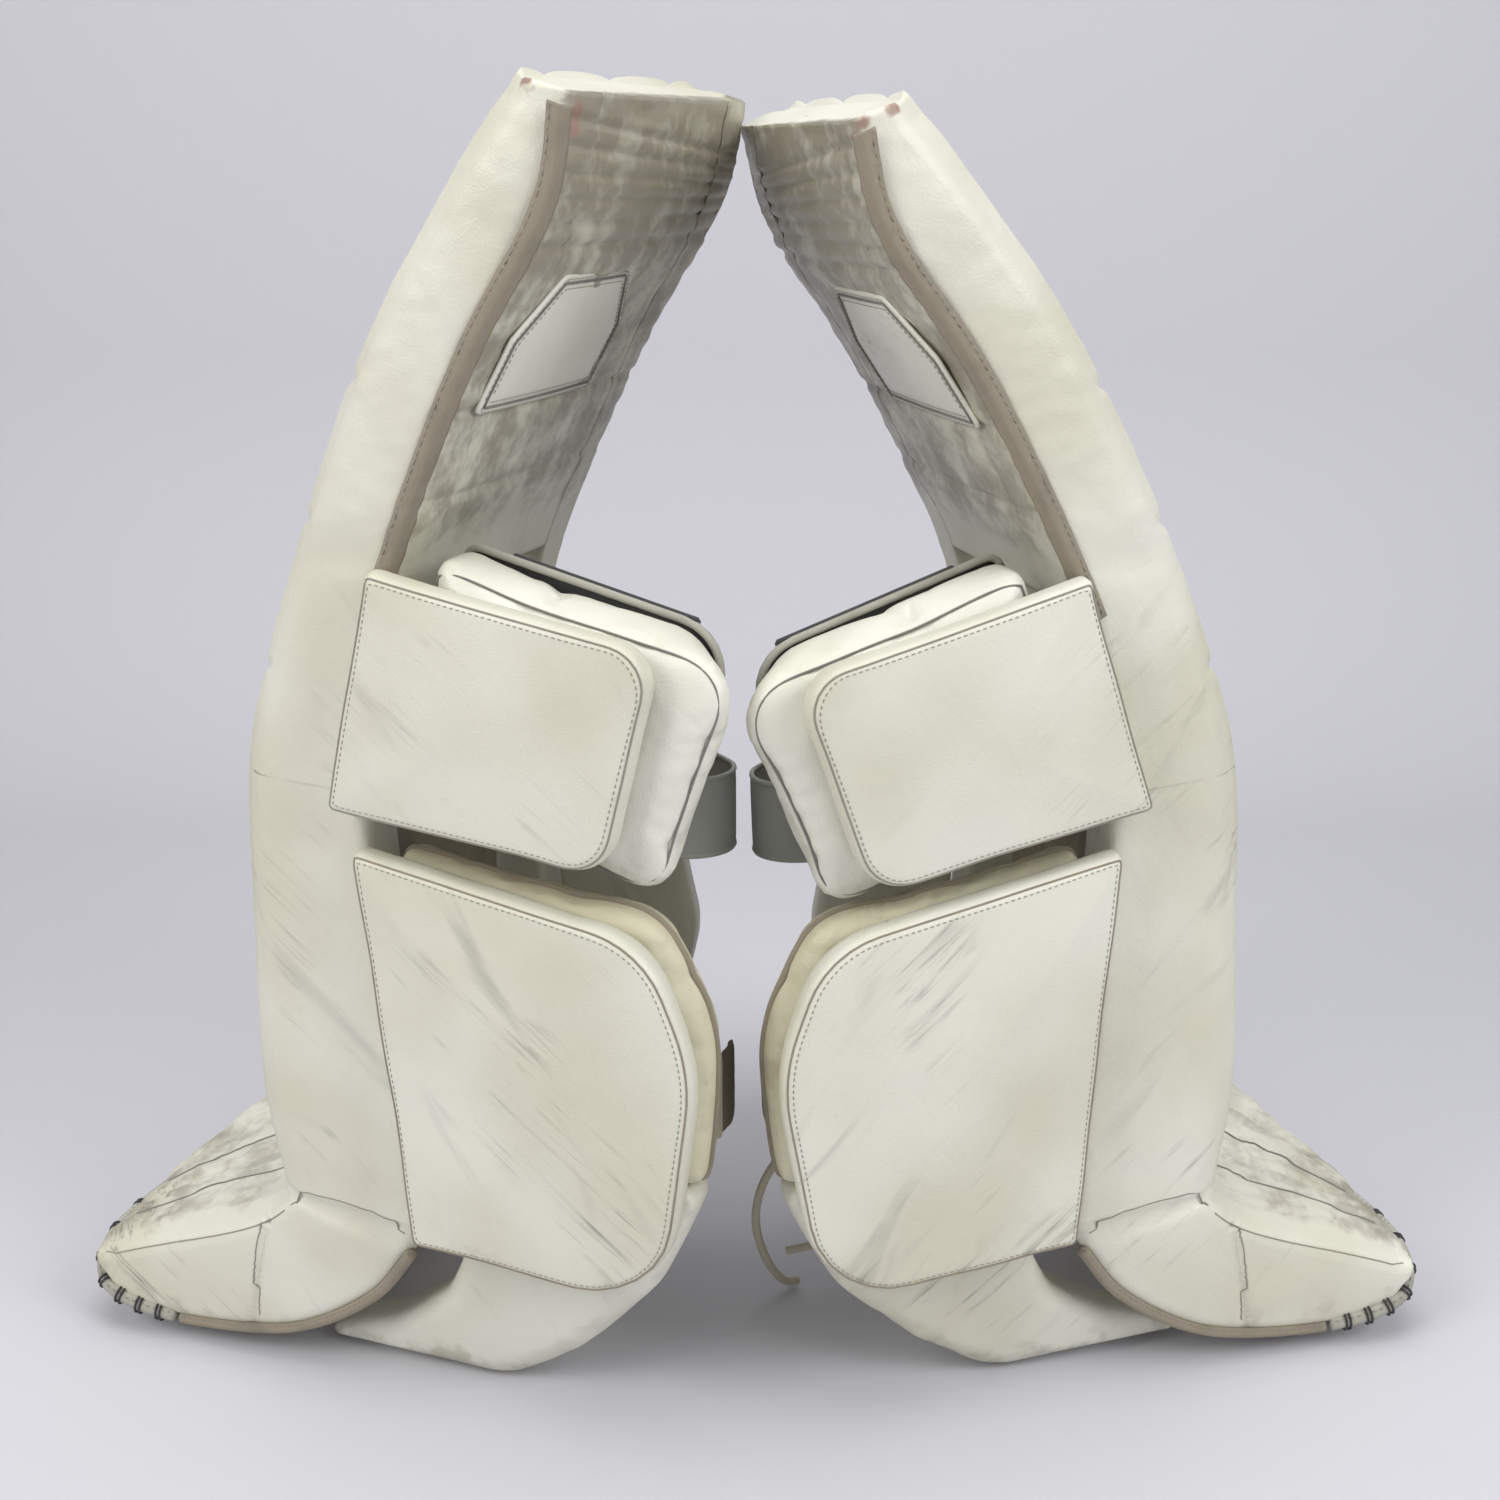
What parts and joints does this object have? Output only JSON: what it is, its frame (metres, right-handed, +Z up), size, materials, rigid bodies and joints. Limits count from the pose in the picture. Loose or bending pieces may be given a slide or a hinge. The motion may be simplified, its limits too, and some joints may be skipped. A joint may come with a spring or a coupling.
{
  "type": "goalie leg pads",
  "caption": "Pair of hockey goalie leg pads: curved face pads with a boot, knee landing flap, knee block, calf wrap and thigh rise, standing together.",
  "frame": {"origin": "centre of the bounding box, on the floor that the pads stand on", "axes": "+Z up, +X from the right-leg pad towards the left-leg pad, +Y from the medial sides, with the knee flaps, towards the lateral sides"},
  "size_m": [0.9829, 0.3984, 0.874],
  "materials": {
    "white_leather": "worn white synthetic leather, satin, with scuffs",
    "cream_leather": "yellowed cream leather, matt",
    "tan_binding": "woven beige edge binding with a dark stitch",
    "black_lining": "brushed black lining",
    "foam": "closed-cell foam, stated as fabric because the list has no foam",
    "grey_elastic": "ribbed grey elastic webbing",
    "lace": "cream braided lace with dark flecks"
  },
  "bodies": {
    "right_shin": {"right_shin_cover": "white_leather", "right_shin_core": "foam", "right_knee_cradle": "black_lining", "right_calf_cradle": "tan_binding", "right_boot_strap": "cream_leather", "right_knee_strap": "grey_elastic"},
    "right_thigh": {"right_thigh_cover": "white_leather", "right_thigh_core": "foam", "right_thigh_binding": "tan_binding", "right_thigh_label": "white_leather"},
    "right_boot": {"right_boot_cover": "white_leather", "right_boot_core": "foam", "right_boot_binding": "tan_binding", "right_boot_outer_binding": "tan_binding", "right_toe_binding": "white_leather", "right_toe_tie": "black_lining"},
    "right_knee_stack": {"right_knee_block_cover": "white_leather", "right_knee_block_core": "foam", "right_knee_block_liner": "black_lining"},
    "right_knee_flap": {"right_knee_flap_cover": "white_leather", "right_knee_flap_core": "foam"},
    "right_calf_wedge": {"right_calf_wedge": "cream_leather", "right_calf_foot": "white_leather", "right_calf_strap": "cream_leather"},
    "right_calf_tab": {"right_calf_strap_tab": "tan_binding"},
    "right_calf_flap": {"right_calf_flap_cover": "white_leather", "right_calf_flap_core": "foam"},
    "right_outer_knee_wing": {"right_outer_knee_wing": "white_leather"},
    "right_outer_calf_wing": {"right_outer_calf_wing": "white_leather"},
    "left_shin": {"left_shin_cover": "white_leather", "left_shin_core": "foam", "left_knee_cradle": "black_lining", "left_calf_cradle": "tan_binding", "left_boot_strap": "cream_leather", "left_knee_strap": "grey_elastic", "left_boot_lace": "lace", "left_short_lace": "lace"},
    "left_thigh": {"left_thigh_cover": "white_leather", "left_thigh_core": "foam", "left_thigh_binding": "tan_binding", "left_thigh_label": "white_leather"},
    "left_boot": {"left_boot_cover": "white_leather", "left_boot_core": "foam", "left_boot_binding": "tan_binding", "left_boot_outer_binding": "tan_binding", "left_toe_binding": "white_leather", "left_toe_tie": "black_lining"},
    "left_knee_stack": {"left_knee_block_cover": "white_leather", "left_knee_block_core": "foam", "left_knee_block_liner": "black_lining"},
    "left_knee_flap": {"left_knee_flap_cover": "white_leather", "left_knee_flap_core": "foam"},
    "left_calf_wedge": {"left_calf_wedge": "cream_leather", "left_calf_foot": "white_leather", "left_calf_strap": "cream_leather"},
    "left_calf_tab": {"left_calf_strap_tab": "tan_binding"},
    "left_calf_flap": {"left_calf_flap_cover": "white_leather", "left_calf_flap_core": "foam"},
    "left_outer_knee_wing": {"left_outer_knee_wing": "white_leather"},
    "left_outer_calf_wing": {"left_outer_calf_wing": "white_leather"}
  },
  "joints": [
    {"name": "right_thigh_flex", "type": "hinge", "parent": "right_shin", "child": "right_thigh", "pos_m": [-0.27729, -0.04083, 0.5815], "axis": [0.3256, 0.9455, 0], "range_deg": [-6, 0], "stiffness_Nm_per_rad": 60},
    {"name": "right_boot_flex", "type": "hinge", "parent": "right_shin", "child": "right_boot", "pos_m": [-0.31133, -0.02911, 0.14], "axis": [0.3256, 0.9455, 0], "range_deg": [-5, 5], "stiffness_Nm_per_rad": 60},
    {"name": "right_knee_stack_swing", "type": "hinge", "parent": "right_shin", "child": "right_knee_stack", "pos_m": [-0.24742, -0.10611, 0.5115], "axis": [-0.2195, 0.0756, -0.9727], "range_deg": [0, 50], "stiffness_Nm_per_rad": 2.5},
    {"name": "right_knee_flap_swing", "type": "hinge", "parent": "right_knee_stack", "child": "right_knee_flap", "pos_m": [-0.24742, -0.10611, 0.5115], "axis": [-0.2195, 0.0756, -0.9727], "range_deg": [0, 38], "stiffness_Nm_per_rad": 1.5},
    {"name": "right_calf_wedge_swing", "type": "hinge", "parent": "right_shin", "child": "right_calf_wedge", "pos_m": [-0.23607, -0.11002, 0.271], "axis": [0.0974, -0.0335, -0.9947], "range_deg": [0, 35], "stiffness_Nm_per_rad": 2.5},
    {"name": "right_calf_flap_swing", "type": "hinge", "parent": "right_calf_wedge", "child": "right_calf_flap", "pos_m": [-0.23607, -0.11002, 0.271], "axis": [0.0974, -0.0335, -0.9947], "range_deg": [0, 38], "stiffness_Nm_per_rad": 1.5},
    {"name": "right_calf_tab_swing", "type": "hinge", "parent": "right_calf_wedge", "child": "right_calf_tab", "pos_m": [-0.02104, -0.09522, 0.224], "axis": [0, 0, 1], "range_deg": [0, 40], "stiffness_Nm_per_rad": 0.05},
    {"name": "right_outer_knee_swing", "type": "hinge", "parent": "right_shin", "child": "right_outer_knee_wing", "pos_m": [-0.14884, 0.15714, 0.468], "axis": [0.1486, -0.0511, 0.9876], "range_deg": [0, 60], "stiffness_Nm_per_rad": 0.6},
    {"name": "right_outer_calf_swing", "type": "hinge", "parent": "right_shin", "child": "right_outer_calf_wing", "pos_m": [-0.14317, 0.15518, 0.269], "axis": [-0.0638, 0.022, 0.9977], "range_deg": [0, 60], "stiffness_Nm_per_rad": 0.6},
    {"name": "left_thigh_flex", "type": "hinge", "parent": "left_shin", "child": "left_thigh", "pos_m": [0.25781, -0.0452, 0.58186], "axis": [0.2487, -0.9686, 0], "range_deg": [-6, 0], "stiffness_Nm_per_rad": 60},
    {"name": "left_boot_flex", "type": "hinge", "parent": "left_shin", "child": "left_boot", "pos_m": [0.30948, -0.03194, 0.14], "axis": [0.2487, -0.9686, 0], "range_deg": [-5, 5], "stiffness_Nm_per_rad": 60},
    {"name": "left_knee_stack_swing", "type": "hinge", "parent": "left_shin", "child": "left_knee_stack", "pos_m": [0.22543, -0.1072, 0.51001], "axis": [-0.3094, -0.0794, 0.9476], "range_deg": [0, 50], "stiffness_Nm_per_rad": 2.5},
    {"name": "left_knee_flap_swing", "type": "hinge", "parent": "left_knee_stack", "child": "left_knee_flap", "pos_m": [0.22543, -0.1072, 0.51001], "axis": [-0.3094, -0.0794, 0.9476], "range_deg": [0, 38], "stiffness_Nm_per_rad": 1.5},
    {"name": "left_calf_wedge_swing", "type": "hinge", "parent": "left_shin", "child": "left_calf_wedge", "pos_m": [0.22276, -0.10789, 0.26923], "axis": [0.0627, 0.0161, 0.9979], "range_deg": [0, 35], "stiffness_Nm_per_rad": 2.5},
    {"name": "left_calf_flap_swing", "type": "hinge", "parent": "left_calf_wedge", "child": "left_calf_flap", "pos_m": [0.22276, -0.10789, 0.26923], "axis": [0.0627, 0.0161, 0.9979], "range_deg": [0, 38], "stiffness_Nm_per_rad": 1.5},
    {"name": "left_calf_tab_swing", "type": "hinge", "parent": "left_calf_wedge", "child": "left_calf_tab", "pos_m": [0.0115, -0.07541, 0.21464], "axis": [0.0372, 0.0096, -0.9993], "range_deg": [0, 40], "stiffness_Nm_per_rad": 0.05},
    {"name": "left_outer_knee_swing", "type": "hinge", "parent": "left_shin", "child": "left_outer_knee_wing", "pos_m": [0.14991, 0.16352, 0.46625], "axis": [0.1888, 0.0485, -0.9808], "range_deg": [0, 60], "stiffness_Nm_per_rad": 0.6},
    {"name": "left_outer_calf_swing", "type": "hinge", "parent": "left_shin", "child": "left_outer_calf_wing", "pos_m": [0.1515, 0.16393, 0.26717], "axis": [-0.0283, -0.0073, -0.9996], "range_deg": [0, 60], "stiffness_Nm_per_rad": 0.6},
    {"name": "pads_apart", "type": "slide", "parent": "right_shin", "child": "left_shin", "axis": [1, 0, 0], "range_m": [0, 0.25]}
  ]
}
